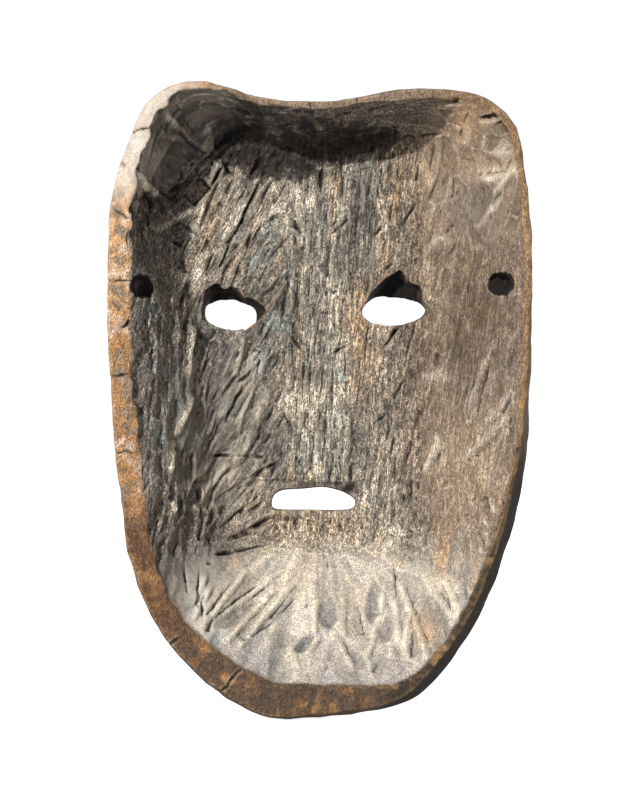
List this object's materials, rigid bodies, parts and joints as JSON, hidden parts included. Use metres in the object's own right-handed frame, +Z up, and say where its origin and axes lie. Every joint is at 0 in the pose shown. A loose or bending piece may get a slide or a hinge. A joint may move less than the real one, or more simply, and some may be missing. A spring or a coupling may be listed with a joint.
{
  "type": "face mask",
  "caption": "Hollowed wooden face mask with see-through eyes, a mouth slot and two side holes for a tie.",
  "frame": {"origin": "midway between the two tie holes, on the plane of the rim's back face", "axes": "+Z up towards the top edge, +Y out of the hollow towards the wearer, so the carved face looks along -Y, and +X towards the mask's own left"},
  "size_m": [0.1674, 0.0794, 0.2513],
  "materials": {
    "aged_wood": "hand-carved, weathered matt inside, worn and polished along the rim and front"
  },
  "bodies": {
    "root": {"mask": "aged_wood"}
  },
  "joints": []
}
